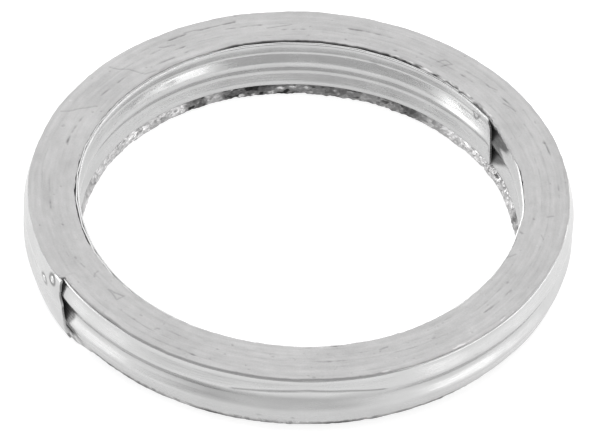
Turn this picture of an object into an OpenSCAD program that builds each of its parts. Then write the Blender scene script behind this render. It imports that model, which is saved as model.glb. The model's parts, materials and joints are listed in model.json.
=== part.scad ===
// Spiral-wound sealing ring: a thin ribbed metal strip wound on edge round a bore, with a soft
// filler tape wound between its turns, spot-welded where the strip starts and where it ends.
// Origin at the centre of the lower sealing face, +Z up through the bore.

/* [Ring] */
// Bore across the innermost turn, measured on its edge bands and on its middle ridge
bore_d = 36; // [30:0.5:37]
// Outside diameter across the outermost turn, measured on its edge bands
rim_d = 44; // [43:0.5:52]
// Height from the lower sealing face to the upper one
height = 5.5; // [5:0.1:6]

/* [Metal strip] */
// Thickness of the strip
strip_t = 0.18; // [0.12:0.01:0.22]
// Width of the strip, which stands on edge in the ring
strip_h = 4.55; // [4:0.05:4.6]
// How far the strip's two ribs bulge outward from its edge bands
rib_out = 0.38; // [0.2:0.02:0.45]
// Distance between the crests of the two ribs
rib_pitch = 2.06; // [1.6:0.02:2.4]
// Clearance between turns that lie metal on metal
ply_gap = 0.02; // [0.01:0.01:0.04]

/* [Winding] */
// Turns of the strip that have filler inside them
filled_turns = 5; // [3:1:6]
// Compass angle where the strip starts at the bore, seen from above; it ends on the rim opposite
start_angle = 31.5; // [0:0.5:360]

/* [Filler] */
// How far the filler stands proud of the strip on the upper face
proud_top = 0.15; // [0.1:0.05:0.2]
// How far the filler's foot stays inside the rim, where it stands proud on the lower face
foot_inset = 0.6; // [0.4:0.05:0.8]

/* [Spot welds] */
// Radius of one weld nugget
weld_r = 0.3; // [0.25:0.01:0.36]
// Angle back from the strip's end to the nearer of the two welds that hold it
end_weld_angle = 3; // [3:0.5:12]
// Angle from the strip's start to the weld that holds it
start_weld_angle = 7.5; // [4:0.5:12]

/* [Hidden] */
$fn = 96;

bore_r = bore_d / 2;
rim_r = rim_d / 2;
plain_step = strip_t + ply_gap;
// one plain step at the bore and one at the rim; the rest of the width is shared by the filled steps
filled_step = (rim_r - strip_t - bore_r - 2 * plain_step) / filled_turns;
steps = concat([plain_step], [for (i = [1:filled_turns]) filled_step], [plain_step]);
turns = len(steps);
strip_top = height - proud_top;
strip_low = strip_top - strip_h;
edge_band = 0.26;
ridge_band = 0.3;
middle = strip_h / 2;
// the strip's wave from its lower edge to its upper one: [distance outward, height]
wave = [
    [0, 0],
    [0, edge_band],
    [rib_out, middle - rib_pitch / 2],
    [0, middle - ridge_band / 2],
    [0, middle + ridge_band / 2],
    [rib_out, middle + rib_pitch / 2],
    [0, strip_h - edge_band],
    [0, strip_h]
];
filler_t = filled_step - strip_t;
// how far the wound layers of filler reach into the cap and the foot that they are pressed into
filler_bite = 0.06;
// the smeared filler covers the strip's edges on the upper face and ends on the plain turns
cap_lap = 0.06;
cap_in_r = bore_r + plain_step + strip_t - cap_lap;
cap_out_r = rim_r - strip_t - cap_lap;
// the foot's inner edge stays just outside the bore
foot_set_back = 0.1;
foot_in_r = bore_r + foot_set_back;
foot_out_r = rim_r - foot_inset;
// heights of the welds: at the start just above the upper rib's crest, at the end one on each side
// of that crest
start_weld_z = strip_low + middle + rib_pitch / 2 + 0.12;
end_weld_z = [strip_low + middle + rib_pitch / 2 + 0.6, strip_low + middle + rib_pitch / 2 - 0.35];
// angle between the two welds at the end
weld_spread = 3;
weld_proud = 0.04;
// thickness of the farther turn that a weld leaves whole
weld_left = 0.15;
weld_reach = weld_proud + plain_step + strip_t - weld_left;

// radius of a turn's inner face where that turn begins
function turn_r(i) = i == 0 ? bore_r : turn_r(i - 1) + steps[i - 1];

// how far the strip's wave stands outward at height z
function bulge(z) = lookup(z - strip_low, [for (p = wave) [p[1], p[0]]]);

// a wall that follows the strip's wave, cut across: from radius r outward by width at its edge
// bands, and standing past the strip's edges by bite
module wave_section(r, width, bite) {
    ends = bite > 0 ? [[[0, -bite]], [[0, strip_h + bite]]] : [[], []];
    path = concat(ends[0], wave, ends[1]);
    inner = [for (p = path) [r + p[0], strip_low + p[1]]];
    outer = [for (i = [len(path) - 1:-1:0]) [r + width + path[i][0], strip_low + path[i][1]]];
    polygon(concat(inner, outer));
}

// half a turn of such a wall, starting at an angle of 0 or 180
module wave_half(r, width, from, bite = 0) {
    rotate_extrude(angle = 180, start = from) wave_section(r, width, bite);
}

// everything inside radius r, with a wall that follows the strip's wave
module wave_core(r) {
    past = height;
    wall = [for (p = wave) [r + p[0], strip_low + p[1]]];
    top = strip_top + past;
    rotate_extrude()
        polygon(concat([[0, -past], [r, -past]], wall, [[r, top], [0, top]]));
}

// one turn: a true half circle, then a half circle whose centre is pushed off the bore's axis, so
// that it leaves the first without a kink and climbs by one step onto the start of the next turn
module turn(i) {
    climb = steps[i] / 2;
    wave_half(turn_r(i), strip_t, 0);
    translate([climb, 0, 0]) wave_half(turn_r(i) + climb, strip_t, 180);
}

// the whole strip, from its start at the bore to its end on the rim half a turn further round
module winding() {
    rotate([0, 0, start_angle]) {
        for (i = [0:turns - 1]) turn(i);
        wave_half(turn_r(turns), strip_t, 0);
    }
}

// one nugget: a short rod along a radius, outward from radius r, at an angle and a height
module nugget(angle, z, r) {
    rotate([0, 0, angle])
        translate([r + bulge(z), 0, z]) rotate([0, 90, 0]) cylinder(r = weld_r, h = weld_reach);
}

module start_weld() {
    color([0.6, 0.6, 0.6]) nugget(start_angle + start_weld_angle, start_weld_z, bore_r - weld_proud);
}

module end_welds() {
    angle = start_angle + 180 - end_weld_angle;
    color([0.6, 0.6, 0.6])
        for (i = [0:len(end_weld_z) - 1])
            nugget(angle - i * weld_spread, end_weld_z[i], turn_r(turns - 1) + weld_left);
}

module winding_strip() {
    color([0.78, 0.78, 0.79])
        difference() {
            winding();
            start_weld();
            end_welds();
        }
}

// filler between the true half circles of turn i and the next turn
module layer(i) {
    wave_half(turn_r(i) + strip_t, filler_t, 0, filler_bite);
}

// filler between the climbing halves of turn i and the next turn
module climbing_layer(i) {
    climb = filled_step / 2;
    translate([climb, 0, 0]) wave_half(turn_r(i) + climb + strip_t, filler_t, 180, filler_bite);
}

// the tape's thin start, between the climbing halves of the first two turns
module first_wedge() {
    climb = filled_step / 2;
    difference() {
        translate([climb, 0, 0])
            wave_half(turn_r(1) + climb - filled_step, filled_step, 180, filler_bite);
        translate([plain_step / 2, 0, 0]) wave_core(bore_r + plain_step / 2 + strip_t);
    }
}

// the tape's thin end, between the climbing halves of the last two turns
module last_wedge() {
    climb = filled_step / 2;
    difference() {
        translate([plain_step / 2, 0, 0])
            wave_half(turn_r(turns - 1) + plain_step / 2 - filled_step, filled_step, 180, filler_bite);
        translate([climb, 0, 0]) wave_core(turn_r(filled_turns) + climb + strip_t);
    }
}

// a flat ring between two radii and two heights
module flat_ring(in_r, out_r, low, high) {
    rotate_extrude() translate([in_r, low]) square([out_r - in_r, high - low]);
}

module filler_tape() {
    color([0.5, 0.5, 0.5]) {
        rotate([0, 0, start_angle]) {
            for (i = [1:filled_turns]) layer(i);
            for (i = [1:filled_turns - 1]) climbing_layer(i);
            first_wedge();
            last_wedge();
        }
        flat_ring(cap_in_r, cap_out_r, strip_top, height);
        flat_ring(foot_in_r, foot_out_r, 0, strip_low);
    }
}

winding_strip();
filler_tape();
start_weld();
end_welds();
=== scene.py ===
"""Looks of the spiral-wound sealing ring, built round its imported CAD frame.

A thin ribbed steel strip is wound on edge, with a soft filler between its turns that is pressed
flat over the strip's edges. Lengths are in millimetres until a mesh is made from them. Angles are
in degrees: an azimuth runs counter-clockwise from +X, and a sweep is the angle wound since the
strip's start at the bore.
"""

import json
import math

import bpy
import numpy as np
from mathutils import Matrix, Vector


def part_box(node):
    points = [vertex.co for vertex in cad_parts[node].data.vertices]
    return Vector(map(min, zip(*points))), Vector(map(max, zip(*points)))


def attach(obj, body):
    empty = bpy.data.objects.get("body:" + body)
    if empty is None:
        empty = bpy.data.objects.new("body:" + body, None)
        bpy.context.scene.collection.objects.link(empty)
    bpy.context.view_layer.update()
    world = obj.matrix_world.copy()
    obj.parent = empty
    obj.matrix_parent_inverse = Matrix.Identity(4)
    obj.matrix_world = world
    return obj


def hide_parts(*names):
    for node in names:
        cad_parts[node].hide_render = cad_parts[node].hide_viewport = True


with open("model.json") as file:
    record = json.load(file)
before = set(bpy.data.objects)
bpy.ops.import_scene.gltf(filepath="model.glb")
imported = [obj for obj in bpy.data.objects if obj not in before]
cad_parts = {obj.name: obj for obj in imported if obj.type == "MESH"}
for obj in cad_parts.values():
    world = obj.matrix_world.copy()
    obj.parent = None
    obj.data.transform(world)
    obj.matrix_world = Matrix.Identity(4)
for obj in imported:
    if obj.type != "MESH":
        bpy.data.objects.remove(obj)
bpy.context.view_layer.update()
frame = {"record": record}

MM = 0.001


# ---------------------------------------------------------------------------------------- sizes

def box_mm(node):
    """Lowest and highest corner of a CAD node, in millimetres."""
    low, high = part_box(node)
    return np.array(low) / MM, np.array(high) / MM


def mount_dims(name):
    """Stated dimensions of one of the record's mounts."""
    return next(m for m in frame["record"]["mounts"] if m["name"] == name)["dims"]


strip_box = box_mm("winding_strip")
filler_box = box_mm("filler_tape")
BORE_R = mount_dims("bore")["r_mm"]
STRIP_H = mount_dims("bore")["length_mm"]
STRIP_LOW = strip_box[0][2]
HEIGHT = filler_box[1][2]
RIB_OUT = 0.38
RIM_R = strip_box[1][1] - RIB_OUT

# the strip: its thickness, the pitch of its two ribs, its flat bands at the edges and between the ribs,
# how far each bend is rounded, and where it starts
STRIP_T = 0.18
RIB_PITCH = 2.06
EDGE_BAND = 0.26
RIDGE_BAND = 0.3
BEND_REACH = 0.2
START_AZIMUTH = 31.5

# the winding climbs one plain step at the bore, then the filled steps, then one plain step at the rim,
# and its last half turn doesn't climb
PLAIN_STEP = 0.2
FILLED_TURNS = 5
FILLED_STEP = (RIM_R - STRIP_T - BORE_R - 2 * PLAIN_STEP) / FILLED_TURNS
STEPS = np.array([PLAIN_STEP] + [FILLED_STEP] * FILLED_TURNS + [PLAIN_STEP, 0])
TURN_R = BORE_R + np.concatenate([[0], np.cumsum(STEPS)])
LAST_SWEEP = 360 * (len(STEPS) - 1) + 180
# sweep of the turn that the strip's end lies against
UNDER_END = LAST_SWEEP - 360

WELD_R = 0.3
# angles from the strip's start to its weld, from its end back to its nearer weld, and between those two
START_WELD_SWEEP = 7.5
END_WELD_BACK = 3
WELD_SPREAD = 3
END_WELD_SWEEP = LAST_SWEEP - END_WELD_BACK
start_weld_box = box_mm("start_weld")
end_weld_box = box_mm("end_welds")
START_WELD_HEIGHT = (start_weld_box[0][2] + start_weld_box[1][2]) / 2 - STRIP_LOW
END_WELD_HEIGHTS = (end_weld_box[1][2] - WELD_R - STRIP_LOW, end_weld_box[0][2] + WELD_R - STRIP_LOW)


# ------------------------------------------------------------------------------- shaping helpers

def smooth(x):
    """0 below 0 and 1 above 1, with a smooth rise between them."""
    x = np.clip(x, 0, 1)
    return x * x * (3 - 2 * x)


def eased(x, points):
    """A curve through (place, value) points, level at each of them."""
    places, values = np.array(points, float).T
    x = np.clip(x, places[0], places[-1])
    i = np.clip(np.searchsorted(places, x) - 1, 0, len(places) - 2)
    share = smooth((x - places[i]) / (places[i + 1] - places[i]))
    return values[i] + (values[i + 1] - values[i]) * share


def hill(x, middle, reach):
    """1 at the middle, falling smoothly to 0 at that reach on either side."""
    return smooth(1 - np.abs(x - middle) / reach)


def flat_hill(x, middle, reach, steepness):
    """The same with its top cut flat at 1, wider for a greater steepness."""
    return np.clip(steepness * hill(x, middle, reach), 0, 1)


def line_distance(azimuth, radius, points):
    """Distance in millimetres from places to a line through (azimuth, radius) points."""
    closest = np.full(np.broadcast(azimuth, radius).shape, np.inf)
    for (start_a, start_r), (end_a, end_r) in zip(points, points[1:]):
        x = np.radians((azimuth - start_a + 180) % 360 - 180) * radius
        y = radius - start_r
        run = math.radians((end_a - start_a + 180) % 360 - 180) * (start_r + end_r) / 2
        rise = end_r - start_r
        share = np.clip((x * run + y * rise) / (run ** 2 + rise ** 2), 0, 1)
        closest = np.minimum(closest, np.hypot(x - share * run, y - share * rise))
    return closest


def ripples(seed, count, around, upward, fade):
    """A gentle unevenness of about unit size, periodic round the ring: waves of fewer than `around`
    cycles a turn, and of up to `upward` cycles over a unit of the second coordinate."""
    draw = np.random.default_rng(seed)
    cycles = draw.integers(1, around, count)
    rises = draw.uniform(-upward, upward, count)
    phases = draw.uniform(0, 2 * math.pi, count)
    sizes = 1 / cycles ** fade
    sizes /= math.sqrt((sizes ** 2).sum() / 2)

    def height(azimuth, along):
        turn = np.radians(azimuth)
        waves = zip(cycles, rises, phases, sizes)
        return sum(s * np.sin(c * turn + 2 * math.pi * r * along + p) for c, r, p, s in waves)

    return height


def soft_noise(seed, rows, columns, row_reach, column_reach):
    """Seeded noise of unit size on a grid whose rows wrap round, blurred by so many cells."""
    raw = np.random.default_rng(seed).standard_normal((rows, columns))
    row_turns = np.fft.fftfreq(rows)[:, None] * row_reach
    column_turns = np.fft.fftfreq(columns)[None, :] * column_reach
    passing = np.exp(-2 * math.pi ** 2 * (row_turns ** 2 + column_turns ** 2))
    blurred = np.fft.ifft2(np.fft.fft2(raw) * passing).real
    return blurred / blurred.std()


# ------------------------------------------------------------------------------ the wound strip

def rounded_wave(step=0.01):
    """Heights over the strip and how far its two ribs bulge outward there, with rounded bends."""
    middle = STRIP_H / 2
    half = RIB_PITCH / 2
    ridge = RIDGE_BAND / 2
    corners = [0, EDGE_BAND, middle - half, middle - ridge, middle + ridge, middle + half]
    corners += [STRIP_H - EDGE_BAND, STRIP_H]
    bulges = [0, 0, RIB_OUT, 0, 0, RIB_OUT, 0, 0]
    heights = np.arange(0, STRIP_H + step, step)
    reach = int(BEND_REACH / step)
    kernel = np.hanning(2 * reach + 1)
    padded = np.pad(np.interp(heights, corners, bulges), reach, mode="edge")
    rounded = np.convolve(padded, kernel / kernel.sum(), mode="valid")
    return heights, rounded * RIB_OUT / rounded.max()


WAVE_HEIGHTS, WAVE_BULGES = rounded_wave()

# How the first turn rides out over its own start, as (sweep, distance outside the bore)
FIRST_CLIMB = [(0, 0), (296, 0), (316, 0.02), (325, 0.14), (332, 0.06), (341, 0.1), (350, 0.19),
               (360, 0.22), (374, PLAIN_STEP)]
# How far the outermost turns stand off the true spiral, as (sweep, distance)
OUTER_SLACK = [(2290, 0), (2335, 0.15), (2380, 0.13), (2500, 0), (2640, 0), (2690, 0.2),
               (LAST_SWEEP, 0.22)]
# Over this angle the strip's wave rises from its flat start, which stands out this far
START_FLAT = 2.6
START_BULGE = 0.03
# Over this angle the wave springs into one plain arch at the end
END_ARCH = 24
# The end's lower edge drops: over this angle, by this much, and up to this height of the strip
END_DROP_SWEEP = 36
END_DROP = 0.55
END_DROP_HEIGHT = 2.0
# The start's upper corner is rounded, and its foot reaches this much further back than its top
START_CORNER_R = 1.0
START_SLANT = 0.35
# How far the strip's end reaches past a square cut, as (height, distance)
END_REACH = [(0, 1.7), (0.4, 1.45), (1.2, 1.3), (2.4, 1.0), (3.6, 0.45), (STRIP_H, 0.2)]
# Both cuts' shapes fade out over this angle
CUT_FADE = 8
# In front the outermost turn's middle groove is pressed shallow: where, how far to either side, and
# by what share
SHALLOW_SWEEP = 2404
SHALLOW_REACH = 34
SHALLOW_SHARE = 0.55
# A crease in the outermost turn, as (sweep, height above the strip's lower edge), and its depth and
# reach. Other turns pass the same azimuths, so it is kept to a span of sweeps round its middle.
CREASE = [(2386, 3.3), (2394, 3.58), (2402, 3.74), (2410, 3.56), (2418, 3.25)]
CREASE_MIDDLE = 2402
CREASE_SPAN = 30
CREASE_DEPTH = 0.022
CREASE_REACH = 0.17
# how far the painted shade along the crease reaches
CREASE_SHADE_REACH = 0.13
# Small dents, as (sweep, height, reach, depth outward)
DENTS = [(40.5, 3.35, 0.45, 0.05), (96.5, 2.6, 0.5, 0.05), (2392, 0.6, 0.5, -0.06),
         (2399, 0.55, 0.4, -0.05), (2440, 3.4, 0.5, -0.03)]
# Size of the strip's gentle unevenness
RIPPLE_DEPTH = 0.012

strip_ripple = ripples(seed=4, count=40, around=34, upward=0.25, fade=0.7)


def wound_radius(sweep):
    """Radius of the strip's inner face at its edge bands."""
    turn = np.clip(sweep // 360, 0, len(STEPS) - 1).astype(int)
    past_half = np.clip(sweep - 360 * turn - 180, 0, 180)
    spiral = TURN_R[turn] + STEPS[turn] * (1 - np.cos(np.radians(past_half))) / 2
    first = BORE_R + eased(sweep, FIRST_CLIMB)
    return np.where(sweep < FIRST_CLIMB[-1][0], first, spiral) + eased(sweep, OUTER_SLACK)


def bulge(sweep, height):
    """How far the strip stands outward of its edge bands. Its wave is flat at the cut start, springs
    into one plain arch towards the cut end, and comes part of the way to that arch in front."""
    wave = np.interp(height, WAVE_HEIGHTS, WAVE_BULGES)
    arch = RIB_OUT * (1 - np.abs(2 * height / STRIP_H - 1) ** 3)
    at_start = smooth(1 - sweep / START_FLAT)
    arched = smooth(1 - (LAST_SWEEP - sweep) / END_ARCH)
    arched = arched + SHALLOW_SHARE * hill(sweep, SHALLOW_SWEEP, SHALLOW_REACH)
    return wave * (1 - at_start) * (1 - arched) + arch * arched + START_BULGE * at_start


def near_crease(sweep, height, reach):
    """1 on the crease, falling smoothly to 0 at that distance from it."""
    # line_distance takes an azimuth and a radius, so heights are counted outward from the rim
    line = [(s, h + RIM_R) for s, h in CREASE]
    distance = line_distance(sweep, height + RIM_R, line)
    return smooth(1 - distance / reach) * (np.abs(sweep - CREASE_MIDDLE) < CREASE_SPAN)


def skin_distance(sweep, height, place, level, upright=1):
    """Distance over the skin from a place; above 1, upright counts its vertical part for more."""
    return np.hypot(np.radians(sweep - place) * RIM_R, (height - level) * upright)


def dents(sweep, height):
    """How far the skin is pushed outward by dents, and inward along the crease."""
    pushed = -CREASE_DEPTH * near_crease(sweep, height, CREASE_REACH)
    for place, level, reach, depth in DENTS:
        pushed = pushed + depth * smooth(1 - skin_distance(sweep, height, place, level) / reach)
    return pushed


def weld_places():
    """Each weld as (sweep, height, side): side is -1 in the bore and 1 on the rim."""
    ends = [(END_WELD_SWEEP - i * WELD_SPREAD, h, 1) for i, h in enumerate(END_WELD_HEIGHTS)]
    return [(START_WELD_SWEEP, START_WELD_HEIGHT, -1)] + ends


# Behind the strip's start the next turn has painted shade over an angle that is the sum of these
# hills, each as (height above the strip's middle, reach, angle), and it fades out over the softness
BEHIND_START_DARK = [(1.5, 2.2, 8.5), (-0.7, 1.8, 6.5), (0.35, 0.3, -2.5)]
BEHIND_START_SOFT = 2.5
BEHIND_START_LEAD = 0.8
BEHIND_START_MIDDLE = 355
BEHIND_START_SPAN = 14
# How far past the strip's end the turn beneath it has painted shadow, as (height, angle), and the
# softness
UNDER_END_DARK = [(0, 6), (0.5, 5), (1.2, 4.2), (2, 5), (2.7, 3.4), (3.6, 1.2), (STRIP_H, 0.3)]
UNDER_END_SOFT = 0.9
UNDER_END_SPAN = 9
# The dark ring round each weld
WELD_RING_R = 0.36
WELD_RING_WIDTH = 0.2
# Soft patches, as (sweep, reach, height above the strip's middle, reach): near the start a painted
# highlight, and on the outermost turn in front a painted dark reflection with two darker bands in it
PAINTED_HIGHLIGHT = (12, 12, 0.2, 1.1)
DARKER_BANDS = [(2382, 10, -0.4, 0.7), (2410, 11, -0.5, 0.6)]
FRONT_REFLECTION_SWEEP = 2394
FRONT_REFLECTION_REACH = 32
FRONT_REFLECTION_HEIGHT_REACH = 1.2
# The first turn's upper edge has a painted highlight round here
EDGE_HIGHLIGHT_SWEEP = 330
EDGE_HIGHLIGHT_REACH = 45
EDGE_HIGHLIGHT_BAND = 0.16
# How dark each kind of mark makes the skin; below 0 it is brighter. The weld rings are heat tint and
# the skin is darker round each dent; the rest are painted shade, painted shadow, a painted dark
# reflection and painted highlights
STAINS_AND_PAINTED_LIGHT = {"behind start": 0.78, "under end": 0.66, "weld ring": 0.75, "crease": 0.5, "dent": 0.3,
          "dull": 0.27, "dull band": 0.1, "polished": -0.95, "bared": -0.6}
DARKEST = 0.95


def patch(sweep, height, place, reach, above_middle, height_reach):
    """A soft patch of skin."""
    return hill(sweep, place, reach) * hill(height, STRIP_H / 2 + above_middle, height_reach)


def tucked_in(sweep, height, across):
    """Painted shade on the skin where it shows beside the strip's start, and painted shadow beside its
    end.
    """
    inside = across < 0
    outside = across > 0
    # painted shade on the turn behind the strip's start
    angle = sum(a * hill(height, STRIP_H / 2 + above, reach) for above, reach, a in BEHIND_START_DARK)
    behind_start = smooth(BEHIND_START_LEAD + (sweep - 360 + angle) / BEHIND_START_SOFT)
    behind_start = behind_start * (np.abs(sweep - BEHIND_START_MIDDLE) < BEHIND_START_SPAN)
    # painted shadow of the strip's end on the turn beneath it
    under_end = smooth(1 - (sweep - UNDER_END - eased(height, UNDER_END_DARK)) / UNDER_END_SOFT)
    under_end = under_end * (np.abs(sweep - UNDER_END) < UNDER_END_SPAN)
    return STAINS_AND_PAINTED_LIGHT["behind start"] * behind_start * inside + STAINS_AND_PAINTED_LIGHT["under end"] * under_end * outside


def stains_and_painted_light(sweep, height, across):
    """How dark the skin is at each place, mostly painted shade. Below 0 it is brighter than plain steel:
    a painted highlight.
    """
    outside = across > 0
    dark = tucked_in(sweep, height, across)
    for place, level, side in weld_places():
        ring = hill(skin_distance(sweep, height, place, level), WELD_RING_R, WELD_RING_WIDTH)
        dark = dark + STAINS_AND_PAINTED_LIGHT["weld ring"] * ring * (np.sign(across) == side)
    # painted shade along the crease
    dark = dark + STAINS_AND_PAINTED_LIGHT["crease"] * near_crease(sweep, height, CREASE_SHADE_REACH) * outside
    for place, level, reach, depth in DENTS:
        away = skin_distance(sweep, height, place, level, upright=1.6)
        dark = dark + STAINS_AND_PAINTED_LIGHT["dent"] * smooth(1.2 - 2 * away / reach)
    # a painted dark reflection across the middle of the outermost turn in front, with two darker bands
    # in it
    bands = sum(patch(sweep, height, *band) for band in DARKER_BANDS)
    dull = hill(sweep, FRONT_REFLECTION_SWEEP, FRONT_REFLECTION_REACH) * flat_hill(height, STRIP_H / 2, FRONT_REFLECTION_HEIGHT_REACH, 1.4)
    darker_front = STAINS_AND_PAINTED_LIGHT["dull band"] * bands + STAINS_AND_PAINTED_LIGHT["dull"] * np.clip(1.5 * dull, 0, 1)
    dark = dark + darker_front * outside
    # a painted highlight on the first turn's bore side near its start
    polished = np.clip(1.4 * patch(sweep, height, *PAINTED_HIGHLIGHT) * (across < 0), 0, 1)
    # a painted highlight along the first turn's upper edge
    bared = hill(sweep, EDGE_HIGHLIGHT_SWEEP, EDGE_HIGHLIGHT_REACH) * smooth((height - STRIP_H + EDGE_HIGHLIGHT_BAND) / 0.1)
    return np.clip(dark, 0, DARKEST) + STAINS_AND_PAINTED_LIGHT["polished"] * polished + STAINS_AND_PAINTED_LIGHT["bared"] * bared


def strip_skin(sweep, height, across):
    """Points of the strip's skin, in millimetres. Height is above the strip's lower edge, and
    across runs from -1 on the inner face to 1 on the outer one."""
    azimuth = START_AZIMUTH + sweep
    uneven = RIPPLE_DEPTH * strip_ripple(azimuth, height) + dents(sweep, height)
    radius = wound_radius(sweep) + bulge(sweep, height) + (1 + across) * STRIP_T / 2 + uneven
    near_end = smooth(1 - (LAST_SWEEP - sweep) / END_DROP_SWEEP)
    drop = END_DROP * near_end * smooth(1 - height / END_DROP_HEIGHT)
    rounded = np.clip(height - (STRIP_H - START_CORNER_R), 0, START_CORNER_R)
    corner = START_CORNER_R - np.sqrt(START_CORNER_R ** 2 - rounded ** 2)
    slant = START_SLANT * (height / STRIP_H - 1)
    start_shift = (corner + slant) * smooth(1 - sweep / CUT_FADE)
    end_shift = eased(height, END_REACH) * smooth(1 - (LAST_SWEEP - sweep) / CUT_FADE)
    turn = np.radians(azimuth) + (start_shift + end_shift) / radius
    z = STRIP_LOW + height - drop
    return np.stack([radius * np.cos(turn), radius * np.sin(turn), z + 0 * radius], axis=-1)


# Points up each face of the strip's section, and round each of its edges
SIDE_POINTS = 44
EDGE_POINTS = 3
# This share of a face's points stands below this share of its height, so that they are closer together
# over the upper rib, where the crease and the welds are
LOWER_POINTS = 0.45
LOWER_HEIGHT = 0.57


def strip_section():
    """The strip's outline as (height, across), up the inner face and down the outer one."""
    half = STRIP_T / 2
    levels = [half, LOWER_HEIGHT * STRIP_H, STRIP_H - half]
    up = np.interp(np.linspace(0, 1, SIDE_POINTS), [0, LOWER_POINTS, 1], levels)
    bend = np.linspace(0, math.pi, EDGE_POINTS + 2)[1:-1]
    heights = np.concatenate([up, STRIP_H - half + half * np.sin(bend), up[::-1],
                              half - half * np.sin(bend)])
    level = np.ones(SIDE_POINTS)
    across = np.concatenate([-level, -np.cos(bend), level, np.cos(bend)])
    return heights, across


def strip_sweeps():
    """Where the sections stand: closer together where the strip shows, and closest at its two ends
    and where the next turn passes them."""
    # each as (first sweep, last, angle between sections)
    stretches = [(0, 15, 0.3), (15, 285, 1.5), (285, 345, 1), (345, 364, 0.4), (364, 385, 1),
                 (385, 2300, 10), (2300, 2336, 1.5), (2336, 2350, 0.4), (2350, 2384, 1.5),
                 (2384, 2420, 0.6), (2420, 2670, 1.5), (2670, LAST_SWEEP, 0.4)]
    runs = [np.arange(start, stop - 0.01, step) for start, stop, step in stretches]
    return np.concatenate(runs + [[LAST_SWEEP]])


# ------------------------------------------------------------------------------- mesh building

def ring_faces(rings, loop, closed):
    """Quads over a grid of rings, each a closed loop; closed joins the last ring to the first."""
    ring = np.arange(rings if closed else rings - 1)[:, None]
    place = np.arange(loop)[None, :]
    after = (ring + 1) % rings
    beside = (place + 1) % loop
    corners = [ring * loop + place, after * loop + place, after * loop + beside, ring * loop + beside]
    return np.stack(np.broadcast_arrays(*corners), axis=-1).reshape(-1, 4)


def end_cap(first, loop, flip):
    """Faces that close a strip section across its thickness."""
    inner = [first + i for i in range(SIDE_POINTS)]
    outer = [first + 2 * SIDE_POINTS + EDGE_POINTS - 1 - i for i in range(SIDE_POINTS)]
    top = [first + SIDE_POINTS + i for i in range(EDGE_POINTS)]
    low = [first + loop - 1 - i for i in range(EDGE_POINTS)]
    faces = [[inner[i], inner[i + 1], outer[i + 1], outer[i]] for i in range(SIDE_POINTS - 1)]
    faces += [[inner[-1], *top, outer[-1]], [outer[0], *low[::-1], inner[0]]]
    return [f[::-1] for f in faces] if flip else faces


def make_mesh(name, points, faces, shading=None, flat=None):
    """A mesh object from points in millimetres. shading holds named values for each point, and flat
    says which faces are flat rather than smooth."""
    mesh = bpy.data.meshes.new(name)
    mesh.from_pydata((points.reshape(-1, 3) * MM).tolist(), [], [list(f) for f in faces])
    for label, values in (shading or {}).items():
        attribute = mesh.attributes.new(label, "FLOAT", "POINT")
        attribute.data.foreach_set("value", values.astype(np.float32).ravel())
    round_shaded = np.ones(len(mesh.polygons), bool)
    if flat is not None:
        round_shaded &= ~flat
    mesh.polygons.foreach_set("use_smooth", round_shaded)
    mesh.update()
    made = bpy.data.objects.new(name, mesh)
    bpy.context.scene.collection.objects.link(made)
    return made


def finish_piece(piece, material, slot, *replaced):
    """Give a piece its material and its place in the frame, for the CAD nodes it replaces."""
    piece.data.materials.append(material)
    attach(piece, "root")
    if replaced:
        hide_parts(*replaced)


def build_strip(material):
    """The wound strip, as one closed mesh from its start in the bore to its end on the rim."""
    heights, across = strip_section()
    sweeps = strip_sweeps()
    points = strip_skin(sweeps[:, None], heights[None, :], across[None, :])
    loop = len(heights)
    last = (len(sweeps) - 1) * loop
    faces = ring_faces(len(sweeps), loop, closed=False).tolist()
    faces += end_cap(0, loop, flip=False)
    faces += end_cap(last, loop, flip=True)
    # the two cut faces come after the `last` quads of the skin
    cut = np.arange(len(faces)) >= last
    # heat tint round the welds and darker dents, with painted shade, shadow, dark reflection and
    # highlights
    stain = stains_and_painted_light(sweeps[:, None], heights[None, :], across[None, :])
    strip = make_mesh("ribbed_strip", points, faces, {"stain": stain}, cut)
    finish_piece(strip, material, "strip_steel", "winding_strip")


# ------------------------------------------------------------------------------------ the filler

# Points round the upper face and across it, and round the foot
FACE_ROWS = 1440
FACE_COLUMNS = 60
FOOT_ROWS = 1080
# How far inside the outermost skin, and outside the innermost one, the filler's upper face ends
FACE_OUT = [(0, 0.04), (60, -0.02), (209, -0.02), (212, 0.19), (226, 0.16), (236, 0.07), (290, 0.07),
            (300, 0.16), (338, 0.14), (350, 0.05), (360, 0.04)]
FACE_IN = [(0, 0), (12, 0), (17, -0.22), (31, -0.22), (31.6, -0.06), (56, -0.05), (66, 0.05),
           (108, 0.05), (116, -0.09), (150, -0.09), (190, 0), (360, 0)]
# How far out the foot reaches below the strip, as (azimuth, distance from its usual edge)
FOOT_REACH = [(0, 0), (196, 0), (204, 0.5), (216, 0.55), (224, 0.1), (360, 0)]
FOOT_OUT_R = RIM_R - 0.6
# the torn inner lip of the foot leans in past the bore, and slopes outward to the strip's lower edge
FOOT_IN_R = BORE_R - 0.2
LIP_LEVELS = 12
LIP_SLOPE = 0.4
# How dark the torn inner lip of the foot is, as (azimuth, share)
LIP_DARKNESS = [(0, 0.3), (8, 0.3), (10, 0.8), (12, 0.2), (54, 0.15), (62, 0.85), (111, 0.9),
                (113.5, 0.15), (116.5, 0.1), (118, 0.95), (122, 0.9), (125, 0.15), (200, 0.15),
                (360, 0.3)]
# How dark the upper face's edges are, as (azimuth, share); along the rim this is a painted shadow line
RIM_LINE = [(0, 0.1), (215, 0.0), (232, 0.35), (288, 0.35), (300, 0), (360, 0.1)]
BORE_LINE = [(0, 0.15), (32, 0), (56, 0), (66, 0.5), (110, 0.5), (118, 0), (360, 0.15)]

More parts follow.
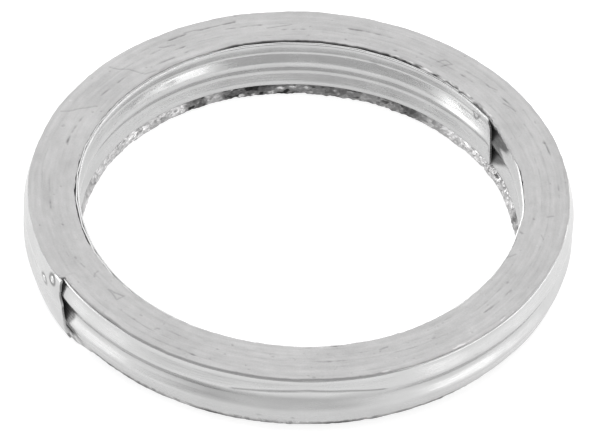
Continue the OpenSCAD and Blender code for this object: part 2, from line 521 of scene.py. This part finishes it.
# Cracks across the upper face, each a line through (azimuth, radius) points
CRACKS = [
    [(139.3, 21.5), (138.5, 20.85), (136.7, 20), (135, 18.85), (132, 18.5)],
    [(157.5, 21.65), (156.7, 21.1), (154.6, 20.4), (152, 19.3)],
    [(126.3, 20.7), (122.8, 20.3)],
    [(118.9, 21.25), (114.6, 21.05)],
    [(99.7, 20.05), (93.7, 20.4)],
    [(56.4, 19.75), (55.3, 20.2), (53.1, 20.15), (54.6, 19.6)],
    [(41.8, 20.45), (39.8, 20.75)],
    [(35.3, 20.2), (32.2, 20.5)],
    [(340, 18.7), (338, 18.3), (336.5, 18.1)],
]
# Scratches and dents, in the same form
SCRATCHES = [
    [(214.7, 19.7), (213.8, 19.45), (213.5, 19.1)],
    [(220.1, 19.6), (223.9, 19.75), (224.1, 19.1), (220.1, 19.6)],
    [(209.3, 19.9), (210.8, 19.85)],
    [(206.8, 20.05), (207.3, 20.05)],
    [(237, 20.05), (237.6, 20)],
    [(231.3, 19.65), (231.7, 19.65)],
    [(265.1, 19.5), (265.5, 19.5)],
    [(290.8, 19.35), (292.8, 19.25)],
    [(303.6, 19.97), (304.2, 19.97)],
    [(327.6, 20.25), (328.2, 20.25)],
    [(329.9, 19.5), (330.3, 19.5)],
    [(348.4, 20.05), (347.1, 20.3)],
    [(354.7, 20.2), (355.2, 20.75)],
    [(26.2, 21.3), (26.8, 21.3)],
    [(109.6, 21.2), (106.7, 21.2)],
    [(167.5, 19.7), (164.4, 19.75)],
]
# Half the width of a crack and of a scratch
CRACK_REACH = 0.11
SCRATCH_REACH = 0.13
# Depth in millimetres, and darkness, of each kind of mark on the upper face; the darkness in the hollow
# marks is painted shade. A grain stands up and is bright.
MARKS = {"line": (0.022, 0.16), "crack": (0.03, 0.26), "scratch": (0.025, 0.24), "pit": (0.03, 0.22),
         "grain": (-0.02, -0.14)}
# Where filler has lifted from the layer line outside a turn, as (first azimuth, last, turn)
LIFTED = [(15, 21, 4), (1, 6, 4), (69, 81, 4), (100, 110, 4), (45, 51, 3), (58, 62, 3), (90, 97, 3),
          (120, 124, 3), (139, 150, 3), (156, 168, 3), (30, 50, 4), (106, 124, 5), (126, 131, 4),
          (118, 130, 2), (66, 72, 2), (185, 192, 4), (318, 328, 3), (272, 281, 3), (243, 249, 5)]


def innermost_outer_radius(azimuth):
    """Outer face of the strip where the filler's upper face begins, at each azimuth."""
    sweep = (azimuth - START_AZIMUTH) % 360
    first = wound_radius(sweep) + STRIP_T
    both = wound_radius(sweep + 360) + STRIP_T
    near_start = eased(sweep, [(0, 1), (170, 1), (230, 0), (360, 0)])
    return first + (np.minimum(both, first + PLAIN_STEP) - first) * near_start


def outermost_radius(azimuth):
    """Outer face of the outermost turn at each azimuth."""
    sweep = (azimuth - START_AZIMUTH) % 360
    last_turns = LAST_SWEEP - 180
    return wound_radius(np.where(sweep < 180, sweep + last_turns, sweep + last_turns - 360)) + STRIP_T


def layer_lines(azimuth, radius):
    """How strongly the lines between the pressed layers show at each place of the upper face."""
    sweep = (azimuth - START_AZIMUTH) % 360
    shown = np.zeros(radius.shape)
    for turn in range(1, FILLED_TURNS + 1):
        line = wound_radius(sweep + 360 * turn) + STRIP_T
        line = line + 0.03 * soft_noise(40 + turn, FACE_ROWS, 1, 9, 0)
        strength = 0.4 + 0.3 * np.clip(soft_noise(50 + turn, FACE_ROWS, 1, 16, 0), -1.2, 2)
        broken = np.clip(0.8 + 0.5 * soft_noise(60 + turn, FACE_ROWS, 1, 2, 0), 0, 1.5)
        lifted = sum(smooth((azimuth - a) / 1.2) * smooth((b - azimuth) / 1.2)
                     for a, b, t in LIFTED if t == turn)
        width = 0.045 + 0.03 * lifted
        shown += (strength + 1.5 * lifted) * broken * np.exp(-((radius - line) / width) ** 2)
    return shown


def face_marks(azimuth, radius):
    """Depth in millimetres and darkness of the marks at each place of the upper face."""
    wander = 0.05 * soft_noise(71, FACE_ROWS, FACE_COLUMNS, 5, 4)
    dots = soft_noise(72, FACE_ROWS, FACE_COLUMNS, 1.1, 1.3)
    # pits and grains are more frequent in front, round azimuth 280
    near_front = 0.35 * hill((azimuth - 100) % 360, 180, 110)

    def drawn(lines, reach):
        return sum(smooth(1 - line_distance(azimuth, radius + wander, line) / reach) for line in lines)

    shown = {
        "line": layer_lines(azimuth, radius),
        "crack": drawn(CRACKS, CRACK_REACH),
        "scratch": drawn(SCRATCHES, SCRATCH_REACH),
        "pit": smooth((dots - 2.35 + near_front) / 0.9),
        "grain": smooth((-dots - 2.9 + 0.5 * near_front) / 0.8),
    }
    # painted shade in the marks' hollows, and brighter grains
    depth = sum(MARKS[kind][0] * share for kind, share in shown.items())
    darkness = sum(MARKS[kind][1] * share for kind, share in shown.items())
    return depth, darkness


def build_loop(name, azimuth, columns, shading, material, flat=False):
    """A closed ring from (radius, height) columns that run round its cross-section."""
    level = 0 * azimuth
    radius = np.stack([c[0] + level for c in columns], axis=1)
    height = np.stack([c[1] + level for c in columns], axis=1)
    turn = np.radians(azimuth)[:, None]
    points = np.stack([radius * np.cos(turn), radius * np.sin(turn), height], axis=-1)
    faces = ring_faces(len(azimuth), len(columns), closed=True)[:, ::-1]
    made = make_mesh(name, points, faces.tolist(), shading, np.full(len(faces), flat))
    finish_piece(made, material, "pressed_filler", "filler_tape")


def face_edges(azimuth):
    """Radii of the upper face's ragged inner and outer edges."""
    slow = soft_noise(11, FACE_ROWS, 2, 8, 0.1)
    quick = soft_noise(12, FACE_ROWS, 2, 1.8, 0.1)
    ragged = 0.02 + 0.03 * hill(azimuth, 45, 20)
    face_in = innermost_outer_radius(azimuth) + eased(azimuth, FACE_IN)
    face_in = face_in + 0.015 * slow[:, 0] + ragged * quick[:, 0]
    face_out = outermost_radius(azimuth) - eased(azimuth, FACE_OUT)
    face_out = face_out + 0.015 * slow[:, 1] + 0.01 * quick[:, 1]
    return face_in, face_out


def shade_face_edges(shade, azimuth):
    """Darken the face's two sides where they show as a line; strew crumbs and painted glints."""
    # a painted shadow line along the rim edge
    shade[:, FACE_COLUMNS - 2:FACE_COLUMNS + 3] += eased(azimuth, RIM_LINE)[:, None]
    shade[:, FACE_COLUMNS + 3:] += eased(azimuth, BORE_LINE)[:, None]
    crumbs = soft_noise(14, FACE_ROWS, 6, 1.7, 0.8)
    crumbling = hill(azimuth, 50, 30) + 0.5 * hill(azimuth, 279, 10)
    shade[:, :3] += 0.5 * crumbling[:, None] * crumbs[:, :3]
    shade[:, -3:] += 0.5 * crumbling[:, None] * crumbs[:, 3:]
    # painted glints along the face's outer edge
    painted_glints = smooth((soft_noise(15, FACE_ROWS, 3, 2.2, 0.8) - 0.9) / 0.6)
    shade[:, FACE_COLUMNS - 3:FACE_COLUMNS] -= 0.9 * hill(azimuth, 308, 34)[:, None] * painted_glints


def build_pressed_face(material):
    """The upper face, pressed flat and smeared over the strip's edges, down to its hidden root."""
    azimuth = np.arange(FACE_ROWS) * 360 / FACE_ROWS
    face_in, face_out = face_edges(azimuth)
    share = np.linspace(0, 1, FACE_COLUMNS)[None, :]
    radius = face_in[:, None] + (face_out - face_in)[:, None] * share
    streaks = soft_noise(21, FACE_ROWS, FACE_COLUMNS, 18, 1.1)
    patches = soft_noise(22, FACE_ROWS, FACE_COLUMNS, 16, 10)
    mottle = soft_noise(24, FACE_ROWS, FACE_COLUMNS, 3, 3)
    grain = soft_noise(23, FACE_ROWS, FACE_COLUMNS, 0.7, 0.7)
    depth, darkness = face_marks(azimuth[:, None], radius)
    uneven = 0.003 * streaks + 0.005 * patches + 0.002 * mottle + 0.0015 * grain
    # the face lies a little low, so that its highest grains reach the CAD height
    z = HEIGHT - 0.02 + uneven - depth
    root = STRIP_LOW + STRIP_H - 0.5
    columns = [(radius[:, i], z[:, i]) for i in range(FACE_COLUMNS)]
    columns += [(face_out + 0.03, z[:, -1] - 0.03), (face_out + 0.04, z[:, -1] - 0.16),
                (face_out - 0.1, root), (face_in + 0.1, root),
                (face_in - 0.03, z[:, 0] - 0.12), (face_in - 0.02, z[:, 0] - 0.03)]
    shade = np.zeros((FACE_ROWS, len(columns)))
    shade[:, :FACE_COLUMNS] = 0.02 * streaks + 0.02 * patches + 0.02 * mottle + darkness
    shade_face_edges(shade, azimuth)
    shading = {"torn": np.zeros(shade.shape), "shade": shade}
    build_loop("pressed_face", azimuth, columns, shading, material)


def foot_wall(azimuth, rag):
    """Columns down the foot's outer wall and in over its flat sole."""
    outer = FOOT_OUT_R + eased(azimuth, FOOT_REACH)
    columns = [(outer - 0.05, STRIP_LOW + 0.25), (outer + 0.02 * rag[:, 0], STRIP_LOW - 0.1)]
    for i, share in enumerate((0.7, 0.4, 0.18)):
        columns.append((outer + 0.01 * rag[:, i + 1], STRIP_LOW * share + 0.01 * rag[:, i + 4]))
    columns.append((outer - 0.01 + 0.015 * rag[:, 7], 0.03))
    columns.append((outer - 0.1, 0.0))
    sole_in = FOOT_IN_R + LIP_SLOPE
    sole_out = FOOT_OUT_R - LIP_SLOPE
    return columns + [(sole_out + (sole_in - sole_out) * i / 4, 0.0) for i in range(5)]


def foot_lip(lip_darkness, coarse, rag):
    """Columns up the foot's torn inner lip."""
    columns = []
    for i, share in enumerate(np.linspace(0, 1, LIP_LEVELS)):
        reach = FOOT_IN_R + LIP_SLOPE * share ** 1.5 + 0.03 * coarse
        tear = (0.012 + 0.03 * lip_darkness) * rag[:, 8 + i]
        level = 0.03 + (STRIP_LOW - 0.05) * share
        lift = level + (0.01 + 0.02 * lip_darkness) * rag[:, 20 - i]
        columns.append((reach + tear, np.maximum(lift, 0)))
    return columns + [(FOOT_IN_R + 0.7, STRIP_LOW + 0.15)]


def build_torn_foot(material):
    """The foot below the strip: the tape's torn lower edge, standing proud of the lower face."""
    azimuth = np.arange(FOOT_ROWS) * 360 / FOOT_ROWS
    rag = soft_noise(31, FOOT_ROWS, 24, 1.1, 0.6)
    coarse = soft_noise(32, FOOT_ROWS, 2, 6, 0.5)[:, :1]
    plates = soft_noise(33, FOOT_ROWS, LIP_LEVELS + 1, 9, 3)
    chips = soft_noise(34, FOOT_ROWS, LIP_LEVELS + 1, 2, 1.2)
    lip_darkness = eased(azimuth, LIP_DARKNESS)
    wall = foot_wall(azimuth, rag)
    columns = wall + foot_lip(lip_darkness, coarse[:, 0], rag)
    torn = np.ones((FOOT_ROWS, len(columns)))
    shade = 0.12 * torn
    # painted shade in the gap just under the strip
    shade[:, 1] = 0.55
    # painted shade on the foot's lowest wall and the sole's edge, by the floor
    shade[:, 4:8] = 0.5 + 0.15 * coarse
    dark = lip_darkness[:, None]
    # darker chips, and bright chips that are painted glints
    chips_and_painted_glints = 0.5 * smooth((chips - 1.4) / 0.8) - (0.2 + 0.7 * dark) * smooth((-chips - 1.5) / 0.8)
    shade[:, len(wall):] = 0.64 * dark + 0.1 * plates + chips_and_painted_glints + 0.05
    build_loop("torn_foot", azimuth, columns, {"torn": torn, "shade": shade}, material, flat=True)


# -------------------------------------------------------------------------------------- the welds

# A weld button's shape from its middle outward, as (reach, rise from the skin): dimpled, with a lip
WELD_PROFILE = [(0.0, 0.012), (0.07, 0.014), (0.13, 0.035), (0.18, 0.042), (0.23, 0.025), (0.27, -0.01),
                (WELD_R, -0.04)]
WELD_DEPTH = 0.08
WELD_SPOKES = 32


def skin_frame(sweep, height, side):
    """A place on the strip's skin, and the level, upright and outward directions there."""
    def point(s, h):
        return Vector(strip_skin(np.array([s]), np.array([h]), np.array([float(side)]))[0])

    here = point(sweep, height)
    level = (point(sweep + 0.5, height) - here).normalized()
    upright = (point(sweep, height + 0.2) - here).normalized()
    outward = level.cross(upright).normalized() * side
    return here, level, upright, outward


def build_nugget(name, material, sweep, height, side, *replaced):
    """One spot weld: a dimpled button that stands a little proud of the skin it is pressed into."""
    centre, level, upright, outward = skin_frame(sweep, height, side)
    points = [centre + outward * WELD_PROFILE[0][1]]
    for reach, rise in WELD_PROFILE[1:]:
        for i in range(WELD_SPOKES):
            angle = 2 * math.pi * i / WELD_SPOKES
            spoke = level * math.cos(angle) + upright * math.sin(angle)
            points.append(centre + spoke * reach + outward * rise)
    points.append(centre - outward * WELD_DEPTH)
    rings = len(WELD_PROFILE) - 1
    beside = [(i + 1) % WELD_SPOKES for i in range(WELD_SPOKES)]
    faces = [[0, 1 + i, 1 + b] for i, b in enumerate(beside)]
    for ring in range(rings - 1):
        near = 1 + ring * WELD_SPOKES
        far = near + WELD_SPOKES
        faces += [[near + i, far + i, far + b, near + b] for i, b in enumerate(beside)]
    rim = 1 + (rings - 1) * WELD_SPOKES
    faces += [[rim + i, len(points) - 1, rim + b] for i, b in enumerate(beside)]
    if side < 0:
        faces = [f[::-1] for f in faces]
    nugget = make_mesh(name, np.array([list(p) for p in points]), faces)
    finish_piece(nugget, material, "weld_steel", *replaced)


def build_welds(material):
    """A button for each weld, at the CAD welds' angles and heights."""
    start, *ends = weld_places()
    build_nugget("start_nugget", material, *start, "start_weld")
    for i, place in enumerate(ends):
        build_nugget(f"end_nugget_{i + 1}", material, *place, "end_welds")


# ------------------------------------------------------------------------------------ materials

def new_material(name):
    """A material with one surface shader. Returns it with its node tree and that shader."""
    material = bpy.data.materials.new(name)
    material.use_nodes = True
    tree = material.node_tree
    tree.nodes.clear()
    out = tree.nodes.new("ShaderNodeOutputMaterial")
    skin = tree.nodes.new("ShaderNodeBsdfPrincipled")
    tree.links.new(skin.outputs[0], out.inputs[0])
    return material, tree, skin


def plug(tree, socket, value):
    """Set a socket to a plain value, or link it to another node's output."""
    if isinstance(value, bpy.types.NodeSocket):
        tree.links.new(value, socket)
    else:
        socket.default_value = value


def add(tree, kind, inputs, output=0, **settings):
    """A node with these settings and inputs, by name or number. Returns one of its outputs."""
    node = tree.nodes.new("ShaderNode" + kind)
    for name, value in settings.items():
        setattr(node, name, value)
    for name, value in inputs.items():
        plug(tree, node.inputs[name], value)
    return node.outputs[output]


def maths(tree, operation, *values):
    """A sum of that kind over values or sockets."""
    return add(tree, "Math", dict(enumerate(values)), operation=operation)


def spread(tree, value, low, high, to_low, to_high):
    """A value moved from one range onto another, and held inside it."""
    ends = {"From Min": low, "From Max": high, "To Min": to_low, "To Max": to_high}
    return add(tree, "MapRange", {"Value": value, **ends})


def winding_coordinates(tree, around, outward, upward):
    """Coordinates that follow the winding. They rise by `around` a metre along the turns at the
    ring's middle radius, by `outward` a metre of radius and by `upward` a metre of height."""
    place = add(tree, "TexCoord", {}, "Object")
    parts = tree.nodes.new("ShaderNodeSeparateXYZ")
    tree.links.new(place, parts.inputs[0])
    x, y, z = parts.outputs
    squares = maths(tree, "ADD", maths(tree, "MULTIPLY", x, x), maths(tree, "MULTIPLY", y, y))
    radius = maths(tree, "SQRT", squares)
    scale = around * (BORE_R + RIM_R) / 2 * MM
    first = maths(tree, "MULTIPLY", maths(tree, "DIVIDE", x, radius), scale)
    second = maths(tree, "MULTIPLY", maths(tree, "DIVIDE", y, radius), scale)
    third = maths(tree, "ADD", maths(tree, "MULTIPLY", radius, outward),
                  maths(tree, "MULTIPLY", z, upward))
    return add(tree, "CombineXYZ", {"X": first, "Y": second, "Z": third})


def noise(tree, vector, scale, detail=2.0, roughness=0.5):
    """Smooth noise from 0 to 1 over those coordinates."""
    inputs = {"Vector": vector, "Scale": scale, "Detail": detail, "Roughness": roughness}
    return add(tree, "TexNoise", inputs, "Fac")


# the Mix node's colour sockets, by number, because its other kinds have the same names
COLOUR_A = 6
COLOUR_B = 7
COLOUR_RESULT = 2
# Height of the bumps in both materials, in metres
BUMP_DISTANCE = 0.00002
FILLER_TINT = (1.0, 0.992, 0.995)


def grey(tree, value, tint=(1.0, 1.0, 1.0)):
    """A colour of that brightness, with a slight tint."""
    shades = add(tree, "CombineColor", {"Red": value, "Green": value, "Blue": value})
    if tint == (1.0, 1.0, 1.0):
        return shades
    return add(tree, "Mix", {"Factor": 1.0, COLOUR_A: shades, COLOUR_B: (*tint, 1.0)}, COLOUR_RESULT,
               data_type="RGBA", blend_type="MULTIPLY")


def steel(name, brightness, roughness, line_strength):
    """Rolled steel: bright metal with fine lines along the strip, matt smears, and the mesh's stains and
    painted light.
    """
    material, tree, skin = new_material(name)
    lines = noise(tree, winding_coordinates(tree, 400, 3000, 9000), 1.0, 3.0, 0.6)
    smears = noise(tree, winding_coordinates(tree, 260, 400, 700), 1.0, 3.0, 0.55)
    # the mesh's stains and painted shade darken the steel, and its painted highlights brighten it below
    # 0
    stain = add(tree, "Attribute", {}, "Fac", attribute_name="stain")
    clean = spread(tree, smears, 0.3, 0.7, brightness * 0.92, brightness * 1.04)
    plug(tree, skin.inputs["Base Color"],
         grey(tree, maths(tree, "MULTIPLY", clean, maths(tree, "SUBTRACT", 1.0, stain))))
    plug(tree, skin.inputs["Metallic"], spread(tree, stain, 0.3, 0.9, 1.0, 0.3))
    plug(tree, skin.inputs["Roughness"],
         maths(tree, "ADD", spread(tree, smears, 0.35, 0.7, roughness * 0.8, roughness * 1.25),
               spread(tree, lines, 0.3, 0.7, -0.04, 0.04)))
    bump = {"Strength": line_strength, "Distance": BUMP_DISTANCE, "Height": lines}
    plug(tree, skin.inputs["Normal"], add(tree, "Bump", bump, "Normal"))
    return material


def filler_material():
    """Graphite and mineral filler: matt and pressed smooth above, torn and glinting at its foot."""
    material, tree, skin = new_material("pressed_filler")
    torn = add(tree, "Attribute", {}, "Fac", attribute_name="torn")
    shade = add(tree, "Attribute", {}, "Fac", attribute_name="shade")
    place = add(tree, "TexCoord", {}, "Object")
    smears = noise(tree, winding_coordinates(tree, 300, 2500, 0), 1.0, 3.0, 0.6)
    speckle = noise(tree, place, 9000.0, 2.0, 0.6)
    base = maths(tree, "ADD", spread(tree, smears, 0.3, 0.7, 0.38, 0.43),
                 spread(tree, speckle, 0.3, 0.7, -0.02, 0.02))
    flakes = add(tree, "TexVoronoi", {"Vector": place, "Scale": 2800.0}, "Color")
    flake_grey = add(tree, "SeparateColor", {"Color": flakes}, 0)
    rough_base = spread(tree, flake_grey, 0.0, 1.0, 0.42, 0.72)
    mixed = add(tree, "Mix", {"Factor": torn, "A": base, "B": rough_base}, "Result")
    shaded = add(tree, "Clamp", {"Value": shade, "Min": -0.5, "Max": 0.95})
    darkened = maths(tree, "MULTIPLY", mixed, maths(tree, "SUBTRACT", 1.0, shaded))
    plug(tree, skin.inputs["Base Color"], grey(tree, darkened, FILLER_TINT))
    plug(tree, skin.inputs["Metallic"], spread(tree, torn, 0.0, 1.0, 0.25, 0.9))
    plug(tree, skin.inputs["Roughness"], spread(tree, torn, 0.0, 1.0, 0.5, 0.3))
    relief = maths(tree, "ADD", maths(tree, "MULTIPLY", smears, 0.6), speckle)
    bump = {"Strength": 0.35, "Distance": BUMP_DISTANCE, "Height": relief}
    plug(tree, skin.inputs["Normal"], add(tree, "Bump", bump, "Normal"))
    return material


def floor_material():
    """Matt pale grey that glows a little, so that the floor comes out nearly white."""
    material, tree, skin = new_material("pale_floor")
    place = add(tree, "TexCoord", {}, "Object")
    plug(tree, skin.inputs["Base Color"],
         grey(tree, spread(tree, noise(tree, place, 20.0), 0.0, 1.0, 0.44, 0.46)))
    skin.inputs["Roughness"].default_value = 0.9
    skin.inputs["Specular IOR Level"].default_value = 0.1
    skin.inputs["Emission Color"].default_value = (1.0, 1.0, 1.0, 1.0)
    skin.inputs["Emission Strength"].default_value = 0.75
    return material


# --------------------------------------------------------------------------- floor, light, camera

FLOOR_HALF = 1500
# a hair below the ring's foot, so that the two never share a plane
FLOOR_Z = -0.02


def build_floor():
    """One large square under the ring."""
    turns = [(-1, -1), (1, -1), (1, 1), (-1, 1)]
    corners = np.array([[x * FLOOR_HALF, y * FLOOR_HALF, FLOOR_Z] for x, y in turns])
    floor = make_mesh("pale_floor", corners, [[0, 1, 2, 3]])
    floor.data.materials.append(floor_material())


# Each lamp as (name, azimuth, elevation, distance, width, height, radiance), in degrees and metres
SOFTBOXES = [
    ("left_softbox", 180, 9, 0.8, 0.85, 0.4, 1.9),
    ("left_strip", 170, 9, 0.75, 0.25, 0.4, 3.0),
    ("right_softbox", 0, 9, 0.8, 1.5, 0.4, 2.6),
    ("back_softbox", 90, 10, 0.9, 2.0, 0.45, 1.7),
    ("top_softbox", 90, 64, 0.9, 1.2, 1.2, 1.15),
]
WORLD_GREY = 0.66


def softbox(name, azimuth, elevation, distance, width, height, radiance):
    """A rectangular lamp that faces the ring from that side."""
    data = bpy.data.lights.new(name, "AREA")
    data.shape = "RECTANGLE"
    data.size = width
    data.size_y = height
    data.energy = radiance * math.pi * width * height
    lamp = bpy.data.objects.new(name, data)
    a = math.radians(azimuth)
    e = math.radians(elevation)
    away = Vector((math.cos(a) * math.cos(e), math.sin(a) * math.cos(e), math.sin(e)))
    lamp.location = away * distance
    lamp.rotation_euler = away.to_track_quat("Z", "Y").to_euler()
    lamp.visible_camera = False
    bpy.context.scene.collection.objects.link(lamp)


def build_light():
    """Even grey surroundings and the softboxes."""
    world = bpy.data.worlds.new("studio")
    world.use_nodes = True
    background = world.node_tree.nodes["Background"]
    background.inputs["Color"].default_value = (WORLD_GREY, WORLD_GREY, WORLD_GREY, 1.0)
    background.inputs["Strength"].default_value = 1.0
    bpy.context.scene.world = world
    for lamp in SOFTBOXES:
        softbox(*lamp)


# The photo's camera: angles in radians, distances in millimetres
VIEW_ELEVATION = math.radians(42.953)
VIEW_ROLL = math.radians(2.548)
VIEW_DISTANCE = 550
FOCAL_LENGTH = 405.25
SENSOR_WIDTH = 36.0
# the middle of the upper face stands this far above and beside the middle of the picture
AIM_BELOW = 2.292
AIM_BESIDE = 0.033


def build_camera():
    """The camera at the photo's angle, distance and slight roll."""
    back = Vector((0, -math.cos(VIEW_ELEVATION), math.sin(VIEW_ELEVATION)))
    level = Vector((1, 0, 0))
    upright = Vector((0, math.sin(VIEW_ELEVATION), math.cos(VIEW_ELEVATION)))
    side = level * math.cos(VIEW_ROLL) + upright * math.sin(VIEW_ROLL)
    up = upright * math.cos(VIEW_ROLL) - level * math.sin(VIEW_ROLL)
    middle = Vector((0, 0, HEIGHT))
    eye = middle + back * VIEW_DISTANCE
    aim = middle - up * AIM_BELOW - side * AIM_BESIDE
    z_axis = (eye - aim).normalized()
    x_axis = (side - z_axis * side.dot(z_axis)).normalized()
    y_axis = z_axis.cross(x_axis)
    data = bpy.data.cameras.new("studio_camera")
    data.sensor_width = SENSOR_WIDTH
    data.lens = FOCAL_LENGTH
    data.clip_start = 0.01
    data.clip_end = 10.0
    camera = bpy.data.objects.new("studio_camera", data)
    turn = Matrix((x_axis, y_axis, z_axis)).transposed().to_4x4()
    camera.matrix_world = Matrix.Translation(eye * MM) @ turn
    bpy.context.scene.collection.objects.link(camera)
    bpy.context.scene.camera = camera


# ------------------------------------------------------------------------------------- the scene

build_strip(steel("strip_steel", 0.54, 0.25, 0.25))
filler = filler_material()
build_pressed_face(filler)
build_torn_foot(filler)
build_welds(steel("weld_steel", 0.6, 0.3, 0.2))
build_floor()
build_light()
build_camera()
bpy.context.scene.view_settings.view_transform = "Standard"
